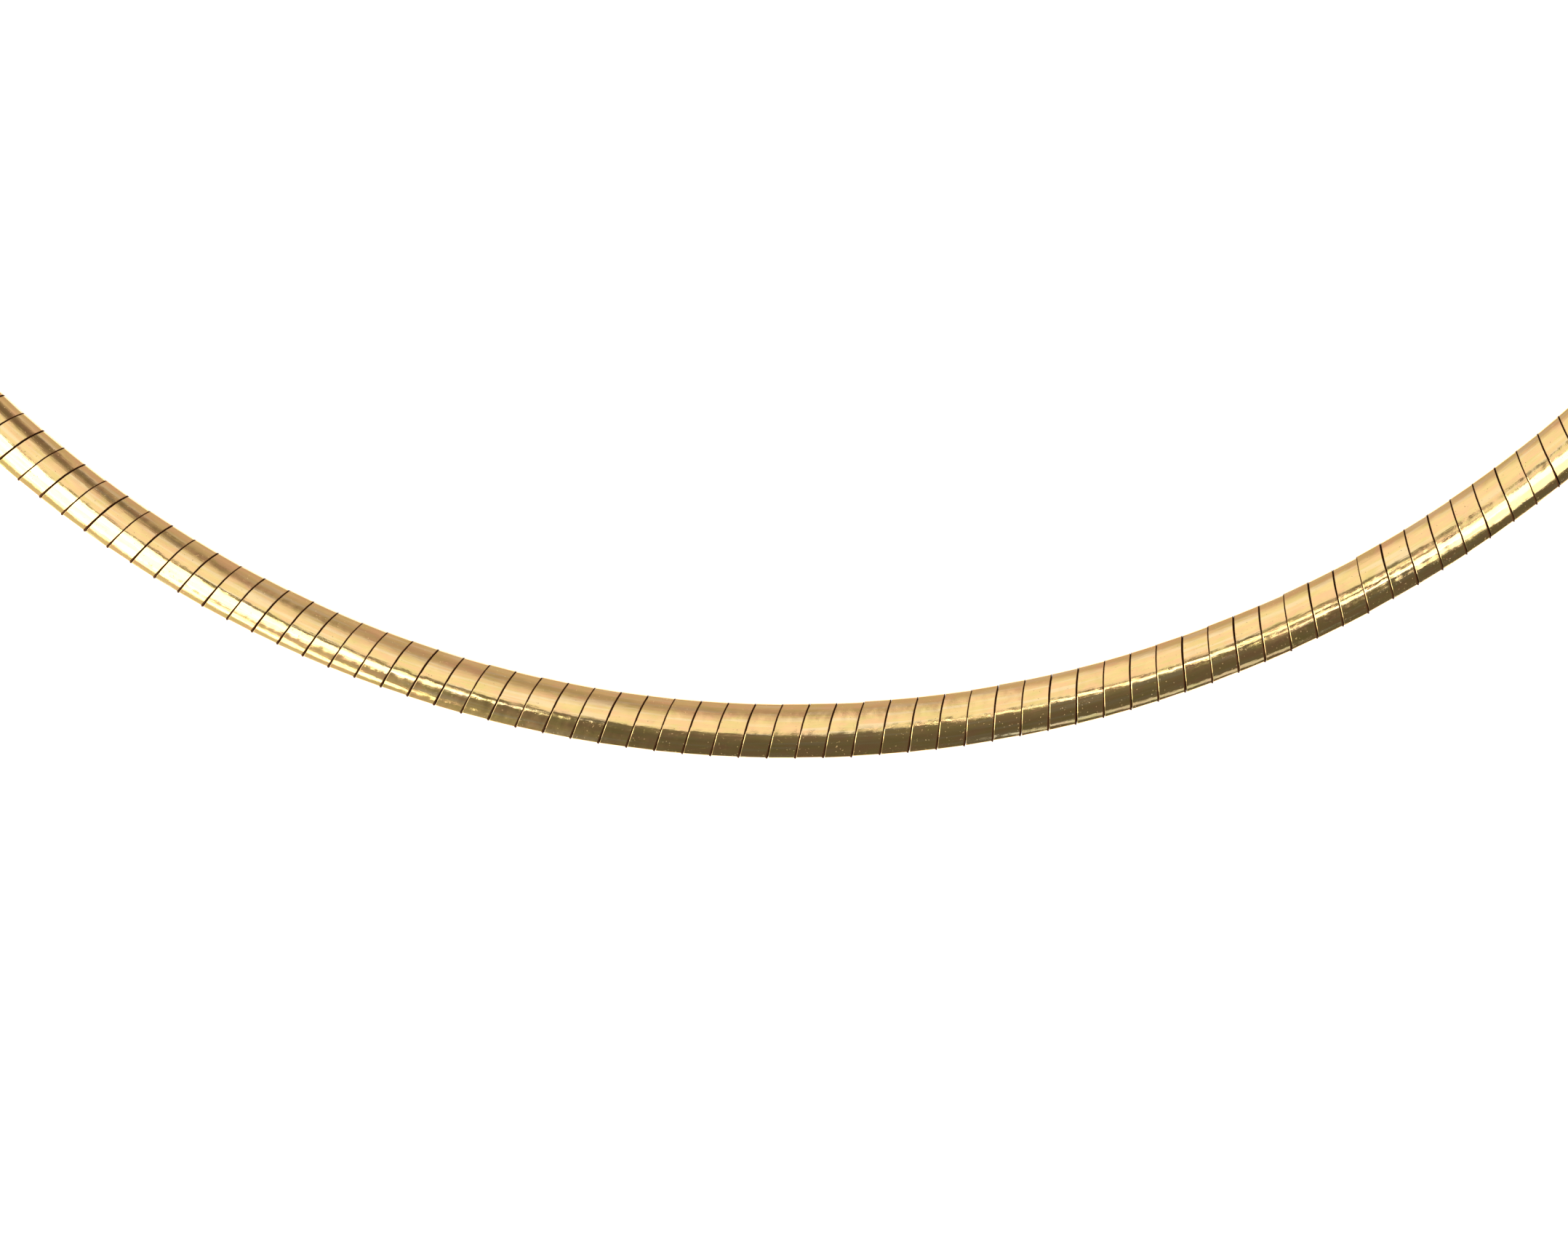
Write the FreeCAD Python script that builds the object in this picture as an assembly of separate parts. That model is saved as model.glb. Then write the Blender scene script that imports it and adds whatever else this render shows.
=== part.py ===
import FreeCAD, Part
import math
import os

# Omega necklace: leaning domed plates side by side on a flat woven band, closed by a box clasp.
# Millimetres, +Z up. It lies on its underside at z = 0, with the origin in the middle of the loop,
# the front toward -Y and the clasp toward +Y.

Vector = FreeCAD.Vector

# The loop: a front and a back arc, joined by two slightly tighter side arcs
loop_length = 406.4
front_radius = 66.5
front_half_angle = math.radians(50)
side_angle = math.pi - 2 * front_half_angle
side_radius = (loop_length - 4 * front_half_angle * front_radius) / (2 * side_angle)
front_centre_y = (front_radius - side_radius) * math.cos(front_half_angle)
side_centre_x = (front_radius - side_radius) * math.sin(front_half_angle)
front_end = front_half_angle * front_radius
side_end = front_end + side_angle * side_radius

# The plates
plate_width = 3.0
plate_height = 1.3
plate_pitch = 1.545
plate_gap = 0.11
plate_wall = 0.2
side_wall = 0.25
crown_wall = 0.24
plate_lean = math.radians(13)
plates_each_side = 123
slot_half = 0.55
foot_round = 0.32
shoulder_height = 0.78

# The dome is one arc from shoulder to shoulder
half_width = plate_width / 2
dome_rise = plate_height - shoulder_height
dome_radius = (half_width**2 + dome_rise**2) / (2 * dome_rise)
dome_centre_z = plate_height - dome_radius
dome_half_angle = math.asin(half_width / dome_radius)

# The band inside the plates
band_width = 1.8
band_bottom = 0.39
band_top = 0.63
band_seat = 2.9

# The clasp
seat_clearance = 0.11
seat_depth = band_seat + seat_clearance
chain_half = (plates_each_side + 0.5) * plate_pitch


def place_on_loop(distance):
    """Heading, arc radius and arc centre at a distance along the centreline from the front."""
    along = abs(distance)
    side = math.copysign(1, distance)
    if along <= front_end:
        return side * along / front_radius, front_radius, Vector(0, front_centre_y, 0)
    if along <= side_end:
        turned = front_half_angle + (along - front_end) / side_radius
        return side * turned, side_radius, Vector(side * side_centre_x, 0, 0)
    turned = math.pi - front_half_angle + (along - side_end) / front_radius
    return side * turned, front_radius, Vector(0, -front_centre_y, 0)


def loop_point(distance, outward=0.0, height=0.0):
    """A point at a distance along the loop, moved outward and up."""
    heading, radius, centre = place_on_loop(distance)
    reach = radius + outward
    return centre + Vector(reach * math.sin(heading), -reach * math.cos(heading), height)


def loop_placement(distance):
    """Local x along the chain, y toward the inside of the loop, z up."""
    heading = math.degrees(place_on_loop(distance)[0])
    return FreeCAD.Placement(loop_point(distance), FreeCAD.Rotation(Vector(0, 0, 1), heading))


def dome_point(angle, inset=0.0):
    """A point of the dome's round, at an angle off the vertical."""
    reach = dome_radius - inset
    return reach * math.sin(angle), dome_centre_z + reach * math.cos(angle)


def plate_section():
    """The plate's C in the local yz plane, open at the bottom where the band shows."""
    foot_inside = foot_round - side_wall + plate_wall * math.sqrt(2)
    outer = [
        (slot_half, 0.0),
        (half_width - foot_round, 0.0),
        (half_width, foot_round),
        (half_width, shoulder_height),
        dome_point(dome_half_angle / 3),
    ]
    inner = [
        dome_point(0.7 * dome_half_angle, crown_wall),
        (half_width - side_wall, foot_inside),
        (slot_half, plate_wall),
    ]
    right_half = outer + [(-y, z) for y, z in reversed(outer)]
    hollow = [(-y, z) for y, z in reversed(inner)] + inner
    points = [Vector(0, y, z) for y, z in right_half + hollow]
    return Part.Face(Part.makePolygon(points + points[:1]))


def seam_x(turn, y):
    """Where the plate's end face crosses y, for the end that is turned by this much."""
    start_x = front_radius * math.sin(turn)
    start_y = front_radius * (1 - math.cos(turn))
    inset = math.copysign(plate_gap / 2, turn) / math.cos(plate_lean - turn)
    return start_x - inset + (y - start_y) * math.tan(plate_lean - turn)


def leaning_block(left_turn, right_turn):
    """A block between two leaning end planes, wider and higher than the chain."""
    y = plate_width
    corners = [
        Vector(seam_x(left_turn, -y), -y, 0),
        Vector(seam_x(right_turn, -y), -y, 0),
        Vector(seam_x(right_turn, y), y, 0),
        Vector(seam_x(left_turn, y), y, 0),
    ]
    block = Part.Face(Part.makePolygon(corners + corners[:1]))
    return block.extrude(Vector(0, 0, 2 * plate_height)).translated(Vector(0, 0, -plate_height / 2))


def make_plate():
    """One plate in its local frame: a short C-shaped wall with two leaning ends."""
    half_turn = plate_pitch / 2 / front_radius
    bar = plate_section().translated(Vector(-2 * plate_pitch, 0, 0))
    bar = bar.extrude(Vector(4 * plate_pitch, 0, 0))
    return bar.common(leaning_block(-half_turn, half_turn)).Solids[0]


def make_plates(first, last):
    """The plates with these numbers, counted from the front of the loop."""
    plate = make_plate()
    row = []
    for number in range(first, last + 1):
        one = plate.copy()
        one.Placement = loop_placement(number * plate_pitch)
        row.append(one)
    return Part.makeCompound(row)


def loop_edges(stops, outward, height):
    """Arcs along the loop through these distances, beside the centreline."""
    edges = []
    for start, end in zip(stops, stops[1:]):
        middle = loop_point((start + end) / 2, outward, height)
        arc = Part.Arc(loop_point(start, outward, height), middle, loop_point(end, outward, height))
        edges.append(arc.toShape())
    return edges


def make_band():
    """The woven band that the plates are threaded on, as one flat strip."""
    end = chain_half + band_seat
    stops = [-end, -side_end, -front_end, front_end, side_end, end]
    half = band_width / 2
    closing = [
        Part.makeLine(loop_point(at, -half, band_bottom), loop_point(at, half, band_bottom))
        for at in (-end, end)
    ]
    edges = loop_edges(stops, half, band_bottom) + loop_edges(stops, -half, band_bottom) + closing
    outline = Part.Wire(Part.__sortEdges__(edges))
    return Part.Face(outline).extrude(Vector(0, 0, band_top - band_bottom))


def clasp_section():
    """The clasp's closed outline: flat below, round feet, upright sides and the plates' dome."""

    def at(point, side):
        return Vector(0, side * point[0], point[1])

    foot_start = (half_width - foot_round, 0.0)
    foot_half_round = foot_round * (1 - math.sqrt(0.5))
    foot_middle = (half_width - foot_half_round, foot_half_round)
    foot_end = (half_width, foot_round)
    shoulder = (half_width, shoulder_height)
    edges = [
        Part.makeLine(at(foot_start, -1), at(foot_start, 1)),
        Part.Arc(at(shoulder, 1), at(dome_point(0), 1), at(shoulder, -1)).toShape(),
    ]
    for side in (-1, 1):
        foot = Part.Arc(at(foot_start, side), at(foot_middle, side), at(foot_end, side))
        edges.append(foot.toShape())
        edges.append(Part.makeLine(at(foot_end, side), at(shoulder, side)))
    return Part.Face(Part.Wire(Part.__sortEdges__(edges)))


def make_seat(side):
    """The pocket for one end of the band, in the clasp's end."""
    half = band_width / 2 + seat_clearance
    low = band_bottom - seat_clearance
    depth = band_top + seat_clearance - low
    start = side * (chain_half - plate_pitch)
    end = side * (chain_half + seat_depth)
    outer = loop_edges([start, end], half, low)
    inner = loop_edges([start, end], -half, low)
    closing = [Part.makeLine(loop_point(at, -half, low), loop_point(at, half, low)) for at in (start, end)]
    outline = Part.Wire(Part.__sortEdges__(outer + inner + closing))
    return Part.Face(outline).extrude(Vector(0, 0, depth))


def make_clasp():
    """The closed box clasp with its end caps, one soldered piece at the back of the loop."""
    half_turn = (loop_length / 2 - chain_half) / front_radius
    spare_turn = plate_pitch / front_radius
    bar = clasp_section()
    axis_point = Vector(0, front_radius, 0)
    bar.rotate(axis_point, Vector(0, 0, 1), -math.degrees(half_turn + spare_turn))
    bar = bar.revolve(axis_point, Vector(0, 0, 1), 2 * math.degrees(half_turn + spare_turn))
    box = bar.common(leaning_block(-half_turn, half_turn)).Solids[0]
    box.Placement = loop_placement(loop_length / 2)
    return box.cut(make_seat(-1)).cut(make_seat(1)).Solids[0]


os.makedirs("parts", exist_ok=True)
nodes = {
    "plates_left": make_plates(-plates_each_side, -1),
    "plates_right": make_plates(0, plates_each_side),
    "mesh_band": make_band(),
    "clasp": make_clasp(),
}
for name, shape in nodes.items():
    shape.exportStep(f"parts/{name}.step")
    box = shape.BoundBox
    print(
        name,
        len(shape.Solids),
        "solids, volume",
        round(shape.Volume, 2),
        "valid" if shape.isValid() else "not valid",
        [round(value, 3) for value in (box.XMin, box.XMax, box.YMin, box.YMax, box.ZMin, box.ZMax)],
    )
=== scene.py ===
import math

import bmesh
import bpy
from mathutils import Matrix, Vector


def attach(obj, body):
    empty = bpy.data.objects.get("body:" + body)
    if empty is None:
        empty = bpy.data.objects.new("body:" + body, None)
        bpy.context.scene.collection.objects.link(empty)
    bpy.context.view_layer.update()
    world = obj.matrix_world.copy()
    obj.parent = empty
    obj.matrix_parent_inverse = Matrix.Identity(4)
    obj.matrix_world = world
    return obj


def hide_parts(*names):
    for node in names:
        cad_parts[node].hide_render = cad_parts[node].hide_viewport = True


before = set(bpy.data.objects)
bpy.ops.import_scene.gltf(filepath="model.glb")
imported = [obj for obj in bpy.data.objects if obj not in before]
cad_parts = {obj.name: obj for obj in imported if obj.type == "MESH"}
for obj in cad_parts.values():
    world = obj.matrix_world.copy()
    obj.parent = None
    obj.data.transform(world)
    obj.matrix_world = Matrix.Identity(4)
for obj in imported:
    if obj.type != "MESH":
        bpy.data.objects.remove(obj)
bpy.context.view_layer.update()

# Omega necklace lying flat: the front toward -Y, the clasp toward +Y, the domed side up
mm = 0.001


# The loop that every piece follows

loop = {  # millimetres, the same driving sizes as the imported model
    "length": 406.4,
    "frontRadius": 66.5,
    "frontHalfTurn": math.radians(50),
    "platePitch": 1.545,
    "platesEachSide": 123,
}
sideTurn = math.pi - 2 * loop["frontHalfTurn"]
sideRadius = (loop["length"] - 4 * loop["frontHalfTurn"] * loop["frontRadius"]) / (2 * sideTurn)
frontCentreY = (loop["frontRadius"] - sideRadius) * math.cos(loop["frontHalfTurn"])
sideCentreX = (loop["frontRadius"] - sideRadius) * math.sin(loop["frontHalfTurn"])
frontEnd = loop["frontHalfTurn"] * loop["frontRadius"]
sideEnd = frontEnd + sideTurn * sideRadius
chainHalf = (loop["platesEachSide"] + 0.5) * loop["platePitch"]


def loopArc(distance):
    # heading, radius and centre of the arc at a distance along the centreline from the front
    along = abs(distance)
    side = math.copysign(1, distance)
    if along <= frontEnd:
        return side * along / loop["frontRadius"], loop["frontRadius"], (0, frontCentreY)
    if along <= sideEnd:
        turned = loop["frontHalfTurn"] + (along - frontEnd) / sideRadius
        return side * turned, sideRadius, (side * sideCentreX, 0)
    turned = math.pi - loop["frontHalfTurn"] + (along - sideEnd) / loop["frontRadius"]
    return side * turned, loop["frontRadius"], (0, -frontCentreY)


def loopPoint(distance, inward=0.0, height=0.0):
    # a point of the loop in metres, moved toward the inside and up by millimetres
    heading, radius, centre = loopArc(distance)
    reach = radius - inward
    x = centre[0] + reach * math.sin(heading)
    y = centre[1] - reach * math.cos(heading)
    return Vector((x, y, height)) * mm


# Short helpers for meshes and node trees

def meshObject(name, vertices, faces, material=None):
    mesh = bpy.data.meshes.new(name)
    mesh.from_pydata(vertices, [], faces)
    mesh.update()
    made = bpy.data.objects.new(name, mesh)
    bpy.context.scene.collection.objects.link(made)
    if material:
        mesh.materials.append(material)
    return made


def outwardSmooth(made):
    # turns the faces outward and shades them smoothly
    work = bmesh.new()
    work.from_mesh(made.data)
    bmesh.ops.recalc_face_normals(work, faces=work.faces)
    work.to_mesh(made.data)
    work.free()
    for face in made.data.polygons:
        face.use_smooth = True


class NodeTree:
    # adds nodes to a tree and joins them, with values given as name=value or by socket

    def __init__(self, tree):
        self.tree = tree

    def add(self, kind, inputs=None, **settings):
        node = self.tree.nodes.new(kind)
        for key, value in settings.items():
            setattr(node, key, value)
        for key, value in (inputs or {}).items():
            if isinstance(value, bpy.types.NodeSocket):
                self.join(value, node.inputs[key])
            else:
                node.inputs[key].default_value = value
        return node

    def join(self, source, target):
        self.tree.links.new(source, target)

    def attribute(self, name):
        return self.add("ShaderNodeAttribute", attribute_name=name).outputs["Fac"]

    def math(self, operation, first, second):
        return self.add("ShaderNodeMath", {0: first, 1: second}, operation=operation).outputs[0]

    def scaled(self, vector, factor):
        inputs = {0: vector, "Scale": factor}
        return self.add("ShaderNodeVectorMath", inputs, operation="SCALE").outputs[0]

    def ramp(self, value, low, high, start=0.0, end=1.0):
        # a smooth step from start to end as the value goes from low to high
        inputs = {"Value": value, "From Min": low, "From Max": high, "To Min": start, "To Max": end}
        node = self.add("ShaderNodeMapRange", inputs, interpolation_type="SMOOTHSTEP")
        return node.outputs[0]

    def blend(self, share, first, second):
        # a colour between two colours, each a socket or four numbers
        node = self.add("ShaderNodeMix", {0: share, 6: first, 7: second}, data_type="RGBA")
        return node.outputs[2]


def newMaterial(name):
    material = bpy.data.materials.new(name)
    material.use_nodes = True
    material.node_tree.nodes.clear()
    tree = NodeTree(material.node_tree)
    shader = tree.add("ShaderNodeBsdfPrincipled")
    tree.add("ShaderNodeOutputMaterial", {"Surface": shader.outputs[0]})
    return material, tree, shader


# Camera: straight down over the front of the loop, as the photograph is taken

camera = {
    "pixelsPerMm": 24.67,
    "imageWidth": 2156,
    "imageHeight": 1725,
    "frontPixel": (1083, 1005),  # where the middle of the chain's front lies in the photograph
    "place": (0.012, -0.058, 0.250),
    "sensorWidth": 36.0,
    "chainTop": 1.0,  # millimetres, the height that the photograph is sharp at
}


def makeCamera():
    scale = camera["pixelsPerMm"]
    front = loopPoint(0)
    aim = Vector(
        (
            front.x + (camera["imageWidth"] / 2 - camera["frontPixel"][0]) / scale * mm,
            front.y + (camera["frontPixel"][1] - camera["imageHeight"] / 2) / scale * mm,
            camera["chainTop"] * mm,
        )
    )
    place = Vector(camera["place"])
    data = bpy.data.cameras.new("photoCamera")
    data.sensor_width = camera["sensorWidth"]
    data.lens = data.sensor_width * (aim - place).length / (camera["imageWidth"] / scale * mm)
    data.clip_start = 0.01
    data.clip_end = 20
    made = bpy.data.objects.new("photoCamera", data)
    bpy.context.scene.collection.objects.link(made)
    made.location = place
    back = (place - aim).normalized()
    right = Vector((0, 1, 0)).cross(back).normalized()  # the photograph's upper edge lies toward +Y
    made.rotation_mode = "QUATERNION"
    made.rotation_quaternion = Matrix((right, back.cross(right), back)).transposed().to_quaternion()
    bpy.context.scene.camera = made


makeCamera()
print("camera placed")


# Studio: a white floor, a pale room whose ceiling darkens toward the walls, and windows in front

studio = {
    "floorSize": 6.0,
    "floorDrop": 0.00001,
    "floorColour": (0.96, 0.96, 0.96, 1),
    "floorGlow": 0.5,
    "floorRoughness": 0.9,
    "behind": (0.9, 0.9, 0.9, 1),  # what the camera sees past the floor
}
# The room by direction: x to the right, y away from the front, z up
room = {
    "ceiling": 1.06,
    "wall": 0.46,
    "wallLean": (0.7, 3.0),  # how much later the right and the left wall darken than the back
    "leanFrom": 0.04,
    "leanMost": 0.28,
    "wallRise": (0.69, 1.03),
    "backGlow": 0.15,
    "backGlowRise": (0.42, 0.68),
    "shelf": (0.33, 0.52, 0.79),  # direction of the dark shelf behind on the right
    "shelfWidth": (0.955, 1.0),
    "shelfDark": 0.8,
    "edges": (-0.04, -0.20, 0.12, -0.11),  # where the ceiling ends toward the front, left to right
    "edgeTurns": ((-0.21, -0.13), (-0.05, 0.01), (0.05, 0.19)),
    "edgeSoft": 0.025,
    "front": 0.128,
    "frontGlow": 0.60,
    "frontGlowRise": (0.135, 0.60),
    "topGlow": 0.06,
    "topGlowRise": (0.79, 1.05),
    "ceilingTint": (1.0, 0.99, 0.97, 1),
    "wallTint": (1.0, 0.85, 0.79, 1),
    "shelfTint": (1.0, 0.80, 0.68, 1),
    "frontTint": (1.0, 0.95, 0.82, 1),
}
# Each window: compass degrees from -Y toward +X, degrees from straight up, metres away,
# width and height in metres, radiance and colour
windows = {
    "leftHigh": (-58, 26.7, 0.80, 0.32, 0.19, 2.90, (1.0, 0.98, 0.98)),
    "leftTall": (-70, 44, 0.80, 0.57, 0.34, 2.60, (1.0, 0.98, 0.95)),
    "leftLow": (-60, 60, 0.80, 0.92, 0.19, 2.40, (1.0, 0.97, 0.84)),
    "rightHigh": (65, 26, 0.80, 0.25, 0.21, 3.20, (1.0, 0.98, 0.94)),
    "rightTall": (67, 43, 0.80, 0.43, 0.28, 2.00, (1.0, 0.98, 0.92)),
    "rightStrip": (58, 7, 0.80, 0.06, 0.16, 2.80, (1.0, 0.98, 0.94)),
    "frontLow": (21, 70, 0.80, 0.26, 0.14, 0.80, (0.75, 0.86, 1.0)),
    "sideLeft": (-92, 70, 0.90, 0.80, 0.46, 1.00, (1.0, 1.0, 1.0)),
    "sideRight": (92, 70, 0.90, 0.80, 0.46, 1.00, (1.0, 1.0, 1.0)),
}


def makeRoom():
    world = bpy.data.worlds.new("room")
    bpy.context.scene.world = world
    world.use_nodes = True
    world.node_tree.nodes.clear()
    tree = NodeTree(world.node_tree)
    direction = tree.add("ShaderNodeTexCoord").outputs["Object"]
    parts = tree.add("ShaderNodeSeparateXYZ", {0: direction})
    x, y, z = parts.outputs
    leaning = z
    for side, lean in zip((1.0, -1.0), room["wallLean"]):
        beyond = tree.math("SUBTRACT", tree.math("MULTIPLY", x, side), room["leanFrom"])
        beside = tree.math("MAXIMUM", tree.math("MULTIPLY", beyond, lean), 0.0)
        leaning = tree.math("ADD", leaning, tree.math("MINIMUM", beside, room["leanMost"]))
    height = tree.ramp(leaning, *room["wallRise"])
    ceiling = tree.ramp(leaning, *room["wallRise"], room["wall"], room["ceiling"])
    backGlow = tree.ramp(z, *room["backGlowRise"], room["backGlow"], 0.0)
    shelf = tree.add("ShaderNodeVectorMath", {0: direction, 1: room["shelf"]}, operation="DOT_PRODUCT")
    clear = tree.ramp(shelf.outputs["Value"], *room["shelfWidth"], 1.0, 1.0 - room["shelfDark"])
    behind = tree.math("MULTIPLY", tree.math("ADD", ceiling, backGlow), clear)
    edge = room["edges"][0]
    for before, after, turn in zip(room["edges"], room["edges"][1:], room["edgeTurns"]):
        edge = tree.math("ADD", edge, tree.ramp(x, *turn, 0.0, after - before))
    past = tree.ramp(tree.math("SUBTRACT", y, edge), -room["edgeSoft"], room["edgeSoft"])
    leftward = tree.math("MULTIPLY", x, -1.0)
    sideGlow = tree.ramp(leftward, *room["frontGlowRise"], 0.0, room["frontGlow"])
    topGlow = tree.ramp(z, *room["topGlowRise"], room["front"], room["front"] + room["topGlow"])
    front = tree.math("ADD", sideGlow, topGlow)
    backColour = tree.blend(height, room["wallTint"], room["ceilingTint"])
    backColour = tree.blend(clear, room["shelfTint"], backColour)
    backLight = tree.scaled(backColour, behind)
    frontLight = tree.scaled(room["frontTint"][:3], front)
    light = tree.blend(past, frontLight, backLight)
    seen = tree.add("ShaderNodeLightPath").outputs["Is Camera Ray"]
    background = tree.add("ShaderNodeBackground", {"Color": tree.blend(seen, light, studio["behind"])})
    tree.add("ShaderNodeOutputWorld", {"Surface": background.outputs[0]})


def makeWindow(name, compass, fromUp, away, width, height, radiance, colour):
    target = loopPoint(0, 0, 1)
    across = math.radians(compass)
    down = math.radians(fromUp)
    toward = Vector(
        (math.sin(across) * math.sin(down), -math.cos(across) * math.sin(down), math.cos(down))
    )
    data = bpy.data.lights.new(name, "AREA")
    data.shape = "RECTANGLE"
    data.size = width
    data.size_y = height
    data.energy = radiance * math.pi * width * height
    data.color = colour
    made = bpy.data.objects.new(name, data)
    bpy.context.scene.collection.objects.link(made)
    made.location = target + toward * away
    made.rotation_mode = "QUATERNION"
    made.rotation_quaternion = (-toward).to_track_quat("-Z", "Y")
    made.visible_camera = False


def makeFloor():
    half = studio["floorSize"] / 2
    low = -studio["floorDrop"]
    corners = [(-half, -half, low), (half, -half, low), (half, half, low), (-half, half, low)]
    material, tree, shader = newMaterial("paperFloor")
    shader.inputs["Base Color"].default_value = studio["floorColour"]
    shader.inputs["Roughness"].default_value = studio["floorRoughness"]
    shader.inputs["Emission Color"].default_value = studio["floorColour"]
    shader.inputs["Emission Strength"].default_value = studio["floorGlow"]
    meshObject("floor", corners, [(0, 1, 2, 3)], material)


makeFloor()
makeRoom()
for windowName, window in windows.items():
    makeWindow(windowName, *window)
bpy.context.scene.view_settings.view_transform = "Standard"
print("studio lit")


# Gold: fine bright metal with streaks along the chain, dents and darkened pits, and brown painted shade
# in the seams, the plates' hollows and the clasp's grooves

goldFinish = {  # sizes in millimetres
    "colour": (0.95, 0.69, 0.29, 1),
    "rosy": (0.97, 0.61, 0.30, 1),
    "olive": (0.86, 0.66, 0.25, 1),
    "pale": (0.97, 0.75, 0.42, 1),
    # dark brown painted shade for the seams, hollows and grooves, also darkening the pits; these parts
    # are made rougher
    "shadeAndPitBrown": (0.13, 0.055, 0.02, 1),
    "roughness": (0.06, 0.13),
    "shadeAndPitRoughness": 0.5,
    "lotShift": 0.5,  # how far neighbouring plates' marks differ
    # each pattern: size, detail, stretch along the chain and offset
    "tint": (0.55, 3.0, 0.4, 0.0),
    "plain": (0.4, 2.0, 0.3, 3.1),
    "smooth": (0.3, 3.0, 0.10, 5.3),
    "dent": (0.85, 1.0, 1.0, 0.0),
    "ripple": (0.26, 2.0, 0.6, 1.3),
    "band": (0.24, 1.0, 0.03, 2.2),
    "streak": (0.075, 2.0, 0.10, 2.9),
    "grain": (0.045, 1.0, 0.7, 4.4),
    "pit": (0.10, 1.0, 1.0, 7.7),
    # where a pattern starts and ends to show, and for a band how much at both ends
    "tintShare": (0.38, 0.62),
    "plainShare": (0.35, 0.7),
    "smoothShare": (0.3, 0.7),
    "paleBand": (0.5, 0.7, 0.0, 0.8),
    "rosyBand": (0.3, 0.5, 0.6, 0.0),
    "pitShare": (0.73, 0.78),
    # how far the pits are darkened toward that brown
    "pitDarkening": 0.55,
    "dentHeight": 0.015,
    "rippleHeight": 0.0028,
    "bandHeight": 0.0040,
    "streakHeight": 0.0021,
    "grainHeight": 0.0009,
    "pitDepth": 0.006,
}


def plateMap(tree, finish):
    # runs on from plate to plate along the chain, with each plate a little apart from the next
    strip = tree.add("ShaderNodeSeparateXYZ", {0: tree.add("ShaderNodeUVMap", uv_map="strip").outputs[0]})
    along = tree.math("ADD", strip.outputs[0], tree.attribute("number"))
    parts = {
        0: tree.math("MULTIPLY", along, loop["platePitch"]),
        1: strip.outputs[1],
        2: tree.math("MULTIPLY", tree.attribute("lot"), finish["lotShift"]),
    }
    return tree.add("ShaderNodeCombineXYZ", parts).outputs[0]


def goldMaterial(name, finish, plated=False):
    # plated: the plates' own map gives the place, else the object's own coordinates do
    material, tree, shader = newMaterial(name)
    if plated:
        place = plateMap(tree, finish)
    else:
        place = tree.scaled(tree.add("ShaderNodeTexCoord").outputs["Object"], 1 / mm)

    def noise(size, detail, stretch, offset):
        mapping = {"Vector": place, "Scale": (stretch, 1, 1), "Location": (offset, offset, offset)}
        inputs = {
            "Vector": tree.add("ShaderNodeMapping", mapping).outputs[0],
            "Scale": 1 / size,
            "Detail": detail,
        }
        return tree.add("ShaderNodeTexNoise", inputs).outputs["Fac"]

    def bump(height, depth, before=None):
        inputs = {"Height": height, "Distance": depth * mm, "Strength": 1.0}
        if before:
            inputs["Normal"] = before
        return tree.add("ShaderNodeBump", inputs).outputs["Normal"]

    band = noise(*finish["band"])
    tint = tree.ramp(noise(*finish["tint"]), *finish["tintShare"])
    colour = tree.blend(tint, finish["olive"], finish["rosy"])
    plain = tree.ramp(noise(*finish["plain"]), *finish["plainShare"])
    colour = tree.blend(plain, colour, finish["colour"])
    colour = tree.blend(tree.ramp(band, *finish["paleBand"]), colour, finish["pale"])
    colour = tree.blend(tree.ramp(band, *finish["rosyBand"]), colour, finish["rosy"])
    pits = tree.ramp(noise(*finish["pit"]), *finish["pitShare"])
    pitDarkening = tree.math("MULTIPLY", pits, finish["pitDarkening"])
    # the painted shade from the faces' mask and the darkened pits, taking the larger
    shadeAndPits = tree.math("MAXIMUM", tree.attribute("shadeAndPitBrown"), pitDarkening)
    shader.inputs["Metallic"].default_value = 1.0
    tree.join(tree.blend(shadeAndPits, colour, finish["shadeAndPitBrown"]), shader.inputs["Base Color"])
    smooth = tree.ramp(noise(*finish["smooth"]), *finish["smoothShare"], *finish["roughness"])
    levels = {0: shadeAndPits, 2: smooth, 3: finish["shadeAndPitRoughness"]}
    rough = tree.add("ShaderNodeMix", levels, data_type="FLOAT")
    tree.join(rough.outputs[0], shader.inputs["Roughness"])
    normal = bump(noise(*finish["dent"]), finish["dentHeight"])
    normal = bump(noise(*finish["ripple"]), finish["rippleHeight"], normal)
    normal = bump(band, finish["bandHeight"], normal)
    normal = bump(noise(*finish["streak"]), finish["streakHeight"], normal)
    normal = bump(noise(*finish["grain"]), finish["grainHeight"], normal)
    normal = bump(tree.math("MULTIPLY", pits, -1.0), finish["pitDepth"], normal)
    tree.join(normal, shader.inputs["Normal"])
    return material


polishedGold = goldMaterial("polishedGold", goldFinish, plated=True)
claspGold = goldMaterial("claspGold", goldFinish)
weaveFinish = dict(goldFinish)
weaveFinish.update(
    {
        "colour": (0.86, 0.60, 0.26, 1),
        "olive": (0.74, 0.52, 0.22, 1),
        "roughness": (0.22, 0.38),
        "dent": (0.5, 1.0, 1.0, 0.0),
        "dentHeight": 0.004,
        "band": (0.10, 1.0, 0.03, 2.2),
        "bandHeight": 0.0020,
    }
)
weaveGold = goldMaterial("weaveGold", weaveFinish)
print("materials made")


# Plates: short domed strips bent to a C round the band, side by side

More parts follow.
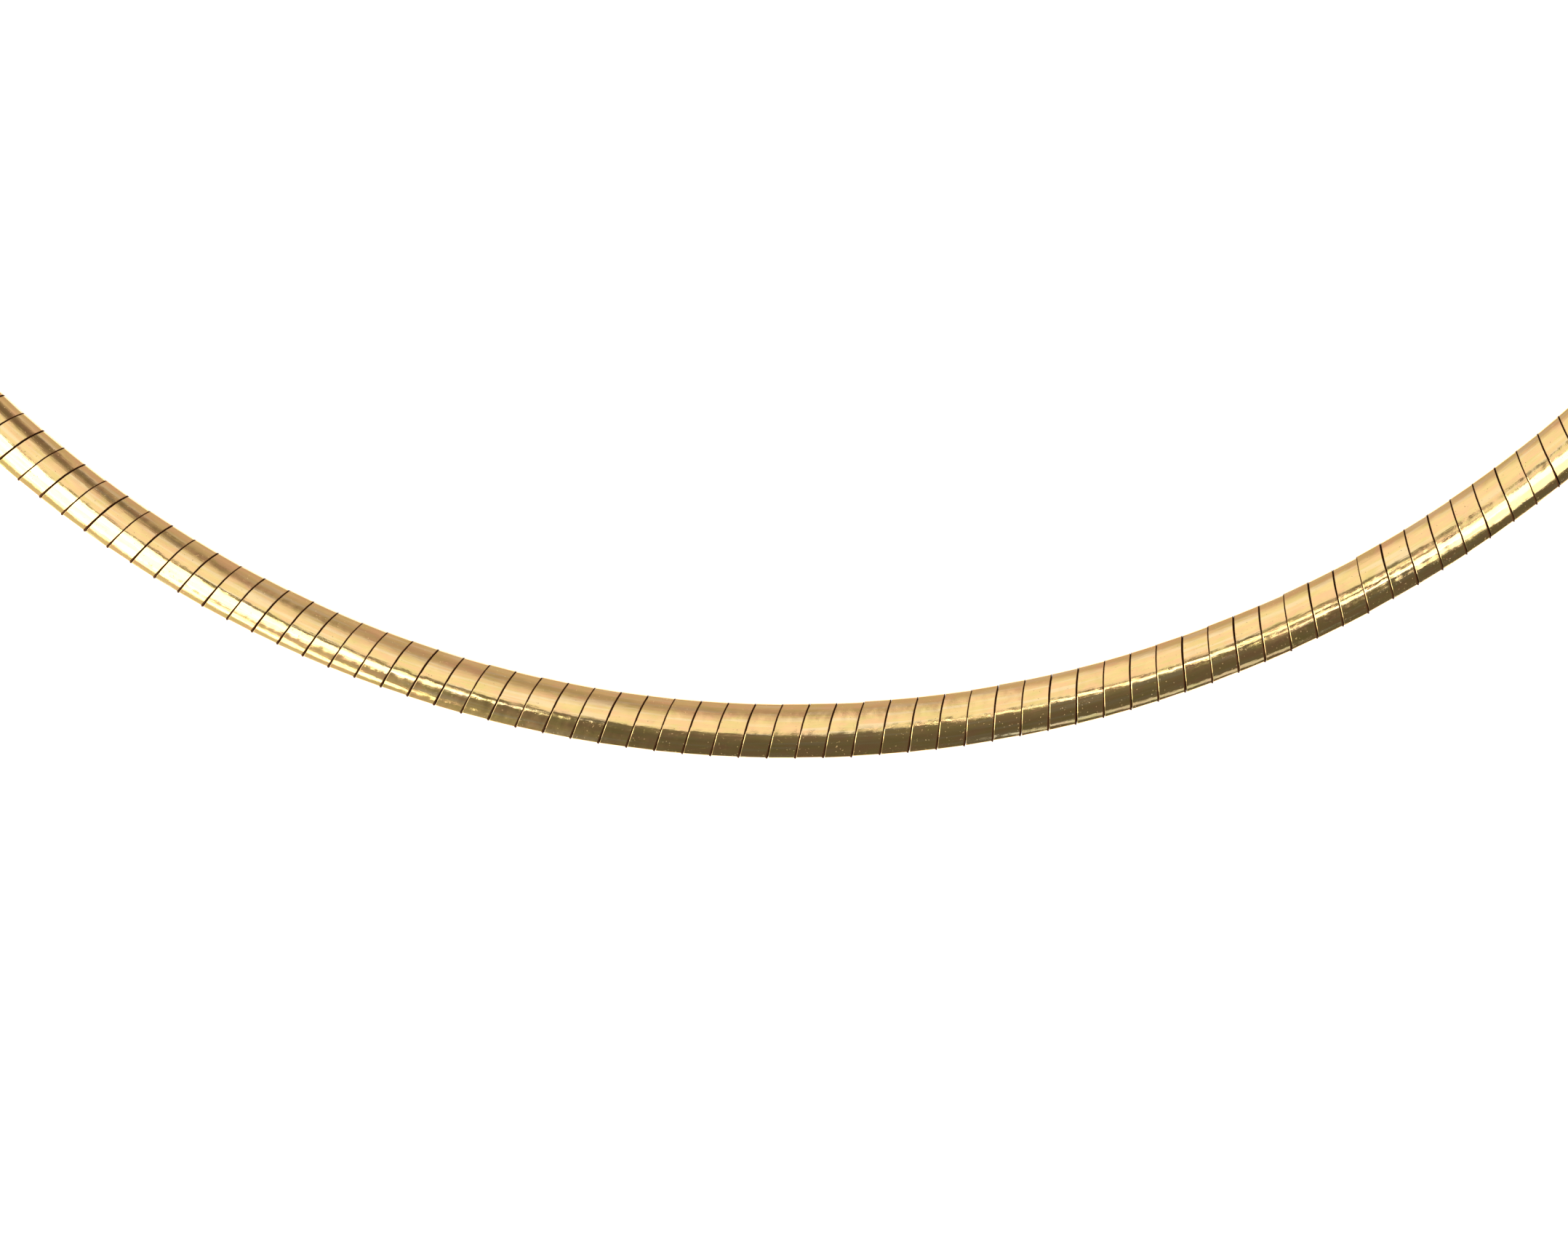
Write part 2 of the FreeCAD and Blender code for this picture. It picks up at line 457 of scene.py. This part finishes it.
plate = {  # millimetres
    "width": 3.0,
    "height": 1.3,
    "shoulder": 0.78,
    "shoulderRound": 0.07,
    "footRound": 0.32,
    "slotHalf": 0.55,
    "wall": 0.2,
    "gap": 0.055,
    "hollowTop": (0.6, 0.3),  # the hollow's upper corners: across, and below the crown
    "tongue": (0.045, 0.09),  # how far each plate reaches under the seam, and how deep
    "lean": math.radians(13),
    "domeSteps": 4,
    "seamBend": 0.15,  # how far the seams bend along the chain at the loop's inside
    "bendFrom": 0.2,
    "leadBevel": (0.021, 0.012),  # along the chain and down, at the end that catches the light
    "tailBevel": (0.036, 0.022),  # at the end that the next plate covers
    "tailFlare": (0.3, 2.2),  # from this share of the half width outward, and how much wider
    "outerLip": 0.09,  # how far the tail end stands out at the loop's outer and inner edges
    "innerLip": 0.03,
    # painted shade in the seams: how dark the tail bevel and the lead bevel are painted
    "tailPaintedShade": 1.0,
    "leadPaintedShade": 0.8,  # painted shade on the lead bevel's inner part
    "mapEdge": 0.03,  # the bevels' share of the plate's own map
    "roll": math.radians(1.5),  # how far plates are out of true round the chain
    "pitchTilt": math.radians(0.55),
    "yaw": math.radians(0.35),
    "shift": 0.012,
    "seed": 7,
}
halfWidth = plate["width"] / 2
domeRise = plate["height"] - plate["shoulder"]
domeRadius = (halfWidth**2 + domeRise**2) / (2 * domeRise)
domeCentre = plate["height"] - domeRadius
shoulderAcross = halfWidth - plate["shoulderRound"]
shoulderTurn = math.degrees(math.asin(shoulderAcross / (domeRadius - plate["shoulderRound"])))
shoulderUp = domeCentre + (domeRadius - plate["shoulderRound"]) * math.cos(math.radians(shoulderTurn))
footAcross = halfWidth - plate["footRound"]


def roundPoint(across, up, radius, degrees):
    angle = math.radians(degrees)
    return across + radius * math.cos(angle), up + radius * math.sin(angle)


def halfOutline(inset=0.0, lip=0.0):
    # from the slot's edge round the foot and the shoulder, up to just short of the crown
    points = [(plate["slotHalf"], inset)]
    for degrees in (-90, -45, 0):
        across, up = roundPoint(footAcross, plate["footRound"], plate["footRound"] - inset, degrees)
        points.append((across + (lip if degrees == 0 else 0), up))
    for share in (0, 0.5, 1):
        degrees = share * (90 - shoulderTurn)
        across, up = roundPoint(shoulderAcross, shoulderUp, plate["shoulderRound"] - inset, degrees)
        points.append((across + lip * (1 - share), up))
    for step in range(1, plate["domeSteps"]):
        degrees = 90 - shoulderTurn * (1 - step / plate["domeSteps"])
        points.append(roundPoint(0, domeCentre, domeRadius - inset, degrees))
    return points


def plateOutline(inset=0.0, innerLip=0.0, outerLip=0.0):
    # the whole C, from the slot's edge on the loop's inside over the crown to the outside
    inside = halfOutline(inset, innerLip)
    outside = [(-across, up) for across, up in reversed(halfOutline(inset, outerLip))]
    return inside + [(0.0, plate["height"] - inset)] + outside


def seamX(turn, across):
    # where a plate's end crosses the chain, for the end that is turned by this much
    startX = loop["frontRadius"] * math.sin(turn)
    startY = loop["frontRadius"] * (1 - math.cos(turn))
    inset = math.copysign(plate["gap"] / 2, turn) / math.cos(plate["lean"] - turn)
    bend = max(0.0, across - plate["bendFrom"]) / (halfWidth - plate["bendFrom"])
    straight = startX - inset + (across - startY) * math.tan(plate["lean"] - turn)
    return straight + plate["seamBend"] * bend**2


def makePlateMesh():
    halfTurn = loop["platePitch"] / 2 / loop["frontRadius"]
    wall = plate["wall"]
    hollow = [
        (plate["slotHalf"], wall),
        (halfWidth - wall, plate["footRound"]),
        (plate["hollowTop"][0], plate["height"] - plate["hollowTop"][1]),
    ]
    hollow += [(-across, up) for across, up in reversed(hollow)]
    full = plateOutline()
    leadLow = plateOutline(plate["leadBevel"][1])
    tailLow = plateOutline(plate["tailBevel"][1], plate["innerLip"], plate["outerLip"])
    reach, deep = plate["tongue"]
    # end of the plate, distance in from it, outline and place along the plate's own map
    stations = [
        (-1, 0, leadLow, 0.0),
        (-1, plate["leadBevel"][0], full, plate["mapEdge"]),
        (1, plate["tailBevel"][0], full, 1.0 - plate["mapEdge"]),
        (1, 0, tailLow, 1.0),
        (1, -reach, plateOutline(deep), 1.0),
        (1, -reach, hollow, 1.0),
        (-1, 0, hollow, 0.0),
    ]
    vertices = []
    rows = []
    for end, distance, outline, mapped in stations:
        rows.append([len(vertices) + number for number in range(len(outline))])
        flareFrom, flareMost = plate["tailFlare"] if end > 0 and distance > 0 else (0, 0)
        for across, up in outline:
            flare = 1 + flareMost * max(0.0, -across / halfWidth - flareFrom)
            inward = end * distance * flare
            vertices.append(Vector((seamX(end * halfTurn, across) - inward, across, up)) * mm)
    # rows to bridge and how dark the inner and the outer half of the strip between them are painted in
    # shade
    faces = []
    shadeAndPitBrown = []
    bridges = (
        (0, 1, plate["leadPaintedShade"], 0.0),
        (1, 2, 0.0, 0.0),
        (2, 3, plate["tailPaintedShade"], plate["tailPaintedShade"]),
        (3, 4, 1.0, 1.0),
        (5, 6, 1.0, 1.0),
    )
    for first, second, innerShade, outerShade in bridges:
        low, high = rows[first], rows[second]
        for number in range(len(low) - 1):
            faces.append((low[number], low[number + 1], high[number + 1], high[number]))
            shadeAndPitBrown.append(innerShade if number < len(low) // 2 else outerShade)
    closing = [tuple(rows[0] + rows[6][::-1]), tuple(rows[4] + rows[5][::-1])]
    closing += [tuple(row[side] for row in rows) for side in (0, -1)]
    faces += closing
    # the end and edge faces that close the plate are painted in full shade
    shadeAndPitBrown += [1.0] * len(closing)
    made = meshObject("plateShape", vertices, faces)
    mesh = made.data
    outwardSmooth(made)
    rowOf = {vertex: number for number, row in enumerate(rows) for vertex in row}
    for edge in mesh.edges:
        first, second = edge.vertices
        edge.use_edge_sharp = rowOf[first] == rowOf[second]
    mesh.attributes.new("shadeAndPitBrown", "FLOAT", "FACE").data.foreach_set("value", shadeAndPitBrown)
    strip = mesh.uv_layers.new(name="strip")
    run = [0.0]
    for (a, b), (c, d) in zip(full, full[1:]):
        run.append(run[-1] + math.hypot(c - a, d - b))
    for corner in mesh.loops:
        row = rowOf[corner.vertex_index]
        outline, mapped = stations[row][2:]
        across = 0.0 if outline is hollow else run[corner.vertex_index - rows[row][0]]
        strip.data[corner.index].uv = (mapped, across)
    return made


def stringTree():
    # puts one shape on each point of the centreline, each a little out of true
    group = bpy.data.node_groups.new("stringAlongLoop", "GeometryNodeTree")
    sockets = {
        "Geometry": "NodeSocketGeometry",
        "Shape": "NodeSocketObject",
        "Count": "NodeSocketInt",
        "Tilt": "NodeSocketVector",
        "Shift": "NodeSocketVector",
        "Seed": "NodeSocketInt",
        "Finish": "NodeSocketMaterial",
    }
    for name, kind in sockets.items():
        group.interface.new_socket(name, in_out="INPUT", socket_type=kind)
    group.interface.new_socket("Geometry", in_out="OUTPUT", socket_type="NodeSocketGeometry")
    tree = NodeTree(group)
    given = tree.add("NodeGroupInput").outputs
    spaced = tree.add(
        "GeometryNodeResampleCurve", {"Curve": given["Geometry"], "Count": given["Count"]}
    )
    tangent = tree.add("GeometryNodeInputTangent").outputs[0]
    along = tree.add("FunctionNodeAxesToRotation", {0: tangent, 1: (0, 0, 1)})
    along.primary_axis = "X"
    along.secondary_axis = "Z"
    source = tree.add("GeometryNodeObjectInfo", {"Object": given["Shape"]})
    placed = tree.add(
        "GeometryNodeInstanceOnPoints",
        {
            "Points": spaced.outputs[0],
            "Instance": source.outputs["Geometry"],
            "Rotation": along.outputs[0],
        },
    )

    def scattered(size, offset):
        seed = tree.add("FunctionNodeIntegerMath", {0: given["Seed"], 1: offset}).outputs[0]
        limits = {"Min": (-1, -1, -1), "Max": (1, 1, 1), "Seed": seed}
        lot = tree.add("FunctionNodeRandomValue", limits, data_type="FLOAT_VECTOR")
        scaled = tree.add("ShaderNodeVectorMath", {0: lot.outputs[0], 1: size}, operation="MULTIPLY")
        return scaled.outputs[0]

    tilted = tree.add(
        "GeometryNodeRotateInstances",
        {"Instances": placed.outputs[0], "Rotation": scattered(given["Tilt"], 0)},
    )
    moved = tree.add(
        "GeometryNodeTranslateInstances",
        {"Instances": tilted.outputs[0], "Translation": scattered(given["Shift"], 1)},
    )
    share = tree.add("FunctionNodeRandomValue", {"Seed": given["Seed"]}, data_type="FLOAT")
    marked = moved
    number = tree.add("GeometryNodeInputIndex")
    for name, value in (("lot", share.outputs[1]), ("number", number.outputs[0])):
        marked = tree.add(
            "GeometryNodeStoreNamedAttribute",
            {"Geometry": marked.outputs[0], "Name": name, "Value": value},
            data_type="FLOAT",
            domain="INSTANCE",
        )
    real = tree.add("GeometryNodeRealizeInstances", {"Geometry": marked.outputs[0]})
    finished = tree.add(
        "GeometryNodeSetMaterial", {"Geometry": real.outputs[0], "Material": given["Finish"]}
    )
    tree.add("NodeGroupOutput", {0: finished.outputs[0]})
    return group


def runTree(name, base, group, values):
    # runs a node tree on an object and keeps the result as a plain mesh
    modifier = base.modifiers.new(name, "NODES")
    modifier.node_group = group
    for item in group.interface.items_tree:
        if item.in_out == "INPUT" and item.name in values:
            modifier[item.identifier] = values[item.name]
    bpy.context.view_layer.update()
    graph = bpy.context.evaluated_depsgraph_get()
    mesh = bpy.data.meshes.new_from_object(base.evaluated_get(graph), depsgraph=graph)
    mesh.name = name
    made = bpy.data.objects.new(name, mesh)
    bpy.context.scene.collection.objects.link(made)
    base.modifiers.remove(modifier)
    bpy.data.objects.remove(base)
    return made


def centreline(name, start, end, step):
    # the loop between two distances, as a curve through points this far apart
    curve = bpy.data.curves.new(name, "CURVE")
    curve.dimensions = "3D"
    count = round((end - start) / step)
    spline = curve.splines.new("POLY")
    spline.points.add(count)
    for number in range(count + 1):
        spline.points[number].co = (*loopPoint(start + (end - start) * number / count), 1)
    made = bpy.data.objects.new(name, curve)
    bpy.context.scene.collection.objects.link(made)
    return made


def makePlates():
    shape = makePlateMesh()
    pitch = loop["platePitch"]
    end = loop["platesEachSide"] * pitch
    line = centreline("plateLine", -end, end, pitch / 2)
    values = {
        "Shape": shape,
        "Count": 2 * loop["platesEachSide"] + 1,
        "Tilt": (plate["roll"], plate["pitchTilt"], plate["yaw"]),
        "Shift": (0, plate["shift"] * mm, 0),
        "Seed": plate["seed"],
        "Finish": polishedGold,
    }
    plates = runTree("plates", line, stringTree(), values)
    bpy.data.objects.remove(shape)
    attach(plates, "root")
    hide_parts("plates_left", "plates_right")
    return plates


plates = makePlates()
print("plates strung:", len(plates.data.polygons), "faces")


# The woven band inside the plates: slanting wire stitches on a flat strip

weave = {  # millimetres
    "width": 1.8,
    "bottom": 0.39,
    "top": 0.63,
    "edgeRound": 0.05,
    "columns": 6,
    "pitch": 0.32,
    "stitch": (0.44, 0.20, 0.06),  # length, width and how far it stands out
    "stitchCorners": 6,
    "stitchTaper": 0.62,
    "spread": 0.94,  # how much of the width the columns take
    "overlap": 0.9,  # how far the strip lies above the stitches' feet, as a share of their height
    "slant": math.radians(32),
    "intoClasp": 0.5,
    "stripStep": 1.5,
    "seed": 3,
}


def sweep(name, outlines, distances, lean=0.0):
    # a closed solid through closed outlines, (across, up) in millimetres, along the loop
    vertices = []
    count = len(outlines[0])
    for outline, distance in zip(outlines, distances):
        for across, up in outline:
            vertices.append(loopPoint(distance + across * math.tan(lean), across, up))
    faces = []
    for row in range(len(outlines) - 1):
        for number in range(count):
            after = (number + 1) % count
            low = row * count
            faces.append((low + number, low + after, low + count + after, low + count + number))
    faces.append(tuple(range(count)))
    faces.append(tuple(range(len(vertices) - count, len(vertices))))
    made = meshObject(name, vertices, faces)
    outwardSmooth(made)
    return made


def makeStitches():
    # one row of stitches across the band, slanting to and fro, hanging from its underside
    length, width, deep = weave["stitch"]
    corners = weave["stitchCorners"]
    columns = weave["columns"]
    vertices = []
    faces = []
    for column in range(columns):
        across = (column + 0.5 - columns / 2) * weave["width"] / columns * weave["spread"]
        turn = Matrix.Rotation(weave["slant"] if column % 2 else -weave["slant"], 2)
        first = len(vertices)
        for size, down in ((1.0, 0.0), (weave["stitchTaper"], deep)):
            for step in range(corners):
                angle = math.tau * step / corners
                x = size * length / 2 * math.cos(angle)
                y = size * width / 2 * math.sin(angle) / math.sin(math.tau / corners)
                x, y = turn @ Vector((x, y))
                vertices.append(Vector((x, y + across, weave["bottom"] + deep - down)) * mm)
        upper = list(range(first, first + corners))
        lower = list(range(first + corners, first + 2 * corners))
        for step in range(corners):
            after = (step + 1) % corners
            faces.append((upper[step], upper[after], lower[after], lower[step]))
        faces += [lower, upper]
    made = meshObject("stitchRow", vertices, faces)
    outwardSmooth(made)
    return made


def joined(name, parts):
    # one object from several, the others removed
    work = bmesh.new()
    for part in parts:
        work.from_mesh(part.data)
    mesh = bpy.data.meshes.new(name)
    work.to_mesh(mesh)
    work.free()
    mesh.materials.append(parts[0].data.materials[0])
    for part in parts:
        bpy.data.objects.remove(part)
    made = bpy.data.objects.new(name, mesh)
    bpy.context.scene.collection.objects.link(made)
    for face in mesh.polygons:
        face.use_smooth = True
        face.material_index = 0
    return made


def makeWeave():
    end = chainHalf + weave["intoClasp"]
    half = weave["width"] / 2
    low = weave["bottom"] + weave["overlap"] * weave["stitch"][2]
    cut = weave["edgeRound"]
    side = [(half - cut, low), (half, low + cut), (half, weave["top"] - cut), (half - cut, weave["top"])]
    outline = side + [(-across, up) for across, up in reversed(side)]
    count = round(2 * end / weave["stripStep"])
    distances = [-end + 2 * end * number / count for number in range(count + 1)]
    strip = sweep("weaveStrip", [outline] * len(distances), distances)
    strip.data.materials.append(weaveGold)
    row = makeStitches()
    reach = end - 2 * weave["stitch"][0]
    line = centreline("weaveLine", -reach, reach, weave["pitch"])
    values = {
        "Shape": row,
        "Count": round(2 * reach / weave["pitch"]),
        "Tilt": (0, 0, 0),
        "Shift": (0, 0, 0),
        "Seed": weave["seed"],
        "Finish": weaveGold,
    }
    stitches = runTree("weaveStitches", line, stringTree(), values)
    bpy.data.objects.remove(row)
    made = joined("weave", [strip, stitches])
    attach(made, "root")
    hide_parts("mesh_band")
    return made


woven = makeWeave()
print("band woven:", len(woven.data.polygons), "faces")


# The clasp: a box in line with the chain, with a sleeve at each end and fine joint lines

clasp = {  # millimetres
    "endRound": 0.05,
    "grooveWidth": 0.09,
    "grooveDepth": 0.06,
    "sleeveRing": 1.4,  # from the end to the ring round the sleeve, and to the box
    "sleeve": 4.6,
    "tongueLine": 2.2,  # from the middle to where the tongue goes in
    "tongueWidth": 0.05,
    "step": 1.2,
}


def claspOutline(inset):
    half = halfOutline(inset)[1:]
    return half + [(0.0, plate["height"] - inset)] + [(-across, up) for across, up in reversed(half)]


def makeClasp():
    half = loop["length"] / 2 - chainHalf - plate["gap"] / 2
    cut = clasp["endRound"]
    grooves = [
        (clasp["sleeveRing"] - half, clasp["grooveWidth"]),
        (clasp["sleeve"] - half, clasp["grooveWidth"]),
        (clasp["tongueLine"], clasp["tongueWidth"]),
        (half - clasp["sleeve"], clasp["grooveWidth"]),
        (half - clasp["sleeveRing"], clasp["grooveWidth"]),
    ]
    stations = [(-half, cut), (cut - half, 0.0)]
    deep = clasp["grooveDepth"]
    for place, width in grooves:
        floor = width / 2
        lip = floor + deep / 2
        for distance, inset in ((-lip, 0.0), (-floor, deep), (floor, deep), (lip, 0.0)):
            stations.append((place + distance, inset))
    stations += [(half - cut, 0.0), (half, cut)]
    full = []
    for (start, startInset), (stop, stopInset) in zip(stations, stations[1:]):
        pieces = max(1, math.ceil((stop - start) / clasp["step"]))
        for number in range(pieces):
            share = number / pieces
            full.append((start + (stop - start) * share, startInset + (stopInset - startInset) * share))
    full.append(stations[-1])
    outlines = [claspOutline(inset) for distance, inset in full]
    distances = [loop["length"] / 2 + distance for distance, inset in full]
    made = sweep("claspBody", outlines, distances, plate["lean"])
    made.data.materials.append(claspGold)
    creased = {number for number, station in enumerate(full) if station in stations}
    count = len(outlines[0])
    for edge in made.data.edges:
        first, second = (vertex // count for vertex in edge.vertices)
        edge.use_edge_sharp = first == second and first in creased
    # painted shade on the floors of the grooves
    low = {number for number, (distance, inset) in enumerate(full) if inset == deep}
    shadeAndPitBrown = [
        1.0 if all(vertex // count in low for vertex in face.vertices) else 0.0
        for face in made.data.polygons
    ]
    made.data.attributes.new("shadeAndPitBrown", "FLOAT", "FACE").data.foreach_set("value", shadeAndPitBrown)
    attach(made, "root")
    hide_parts("clasp")
    return made


claspBody = makeClasp()
print("clasp made:", len(claspBody.data.polygons), "faces")
